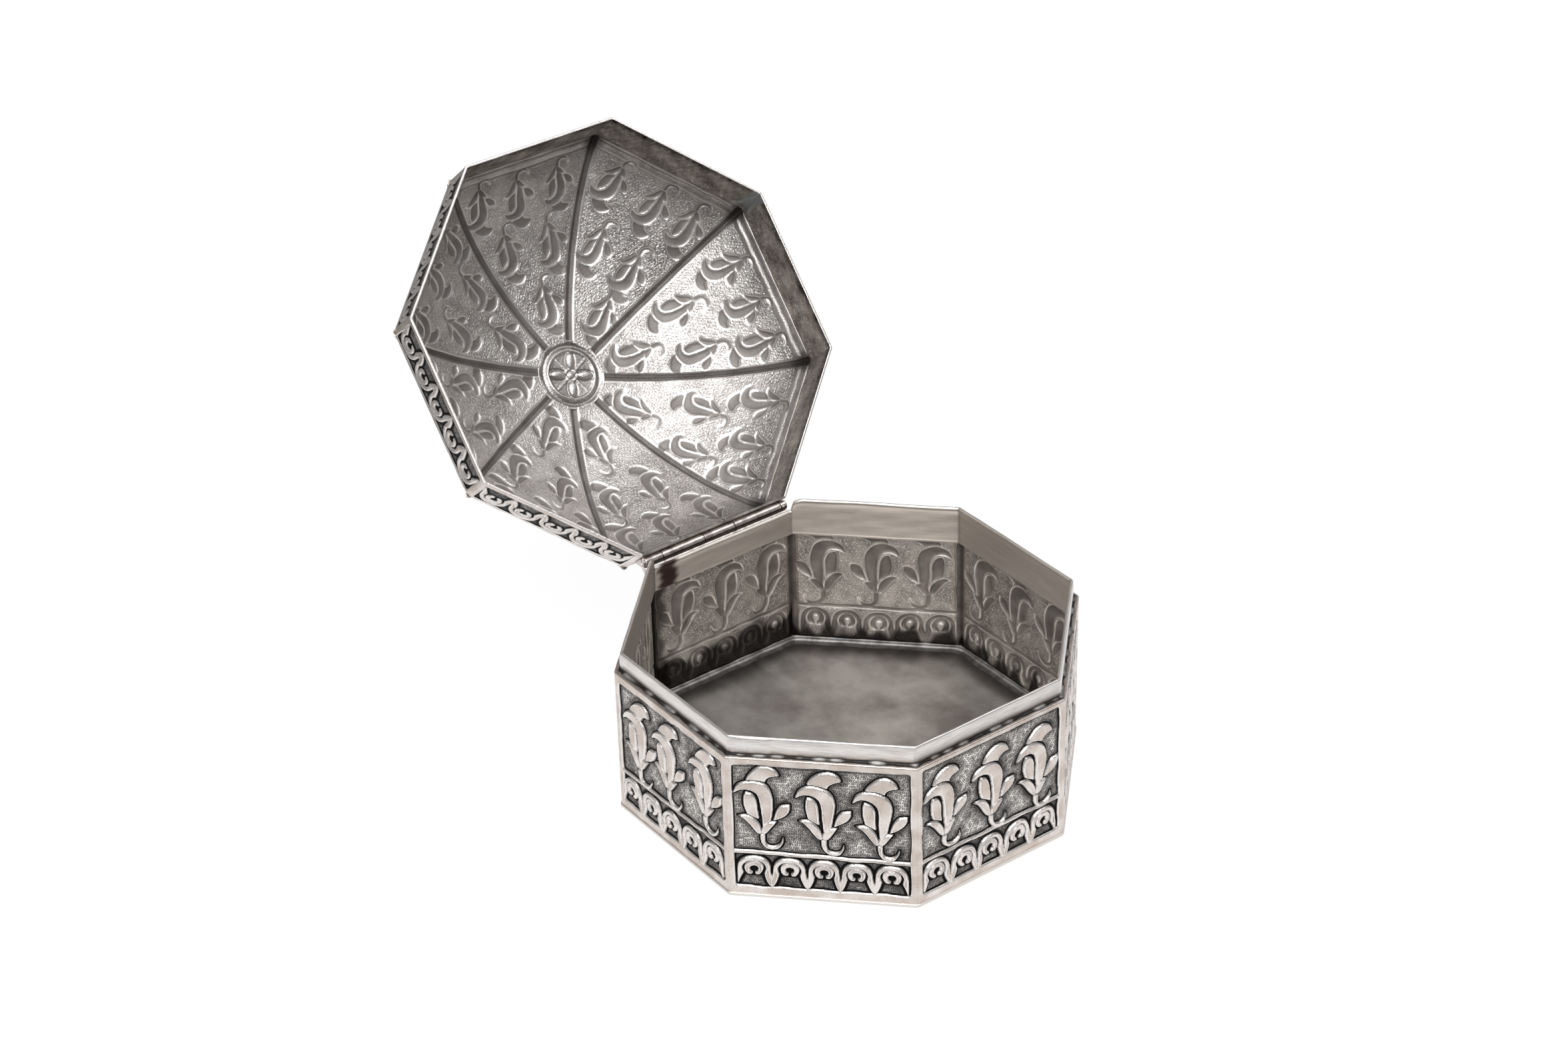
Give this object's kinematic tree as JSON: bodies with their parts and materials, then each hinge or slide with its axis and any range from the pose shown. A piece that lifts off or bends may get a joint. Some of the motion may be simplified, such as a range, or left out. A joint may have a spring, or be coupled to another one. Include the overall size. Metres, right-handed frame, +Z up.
{
  "type": "hinged betel box",
  "caption": "Octagonal silver box for betel leaf, with chased sides, a plain inner bezel, and a ribbed domed lid on a knuckle hinge.",
  "frame": {"origin": "centre of the underside of the base plate, on the surface the box stands on", "axes": "+Z up out of the box, +Y towards the hinge, +X along the hinge, to the right when seen from the front"},
  "size_m": [0.1206, 0.2134, 0.1385],
  "materials": {
    "chased_silver": "chased silver, oxidised in the recesses and polished on the high points",
    "lid_silver": "embossed silver sheet, satin with grey tarnish",
    "plain_silver": "plain burnished silver with fine scratches",
    "tarnished_silver": "dull silver plate with cloudy brown-grey tarnish",
    "hinge_silver": "polished silver tube",
    "solder": "grey silver solder, matt"
  },
  "bodies": {
    "box_body": {"base_plate": "tarnished_silver", "body_wall": "chased_silver", "floor_solder": "solder", "bezel": "plain_silver", "body_hinge_bearer": "hinge_silver", "hinge_pin": "hinge_silver", "body_knuckle_left": "hinge_silver", "body_knuckle_middle": "hinge_silver", "body_knuckle_right": "hinge_silver"},
    "lid": {"lid_rim": "chased_silver", "lid_crown": "lid_silver", "lid_hinge_bearer": "hinge_silver", "lid_knuckle_left": "hinge_silver", "lid_knuckle_right": "hinge_silver"}
  },
  "joints": [
    {"name": "lid_hinge", "type": "hinge", "parent": "box_body", "child": "lid", "pos_m": [0, 0.06148, 0.0461], "axis": [1, 0, 0], "range_deg": [0, 131.2]}
  ]
}
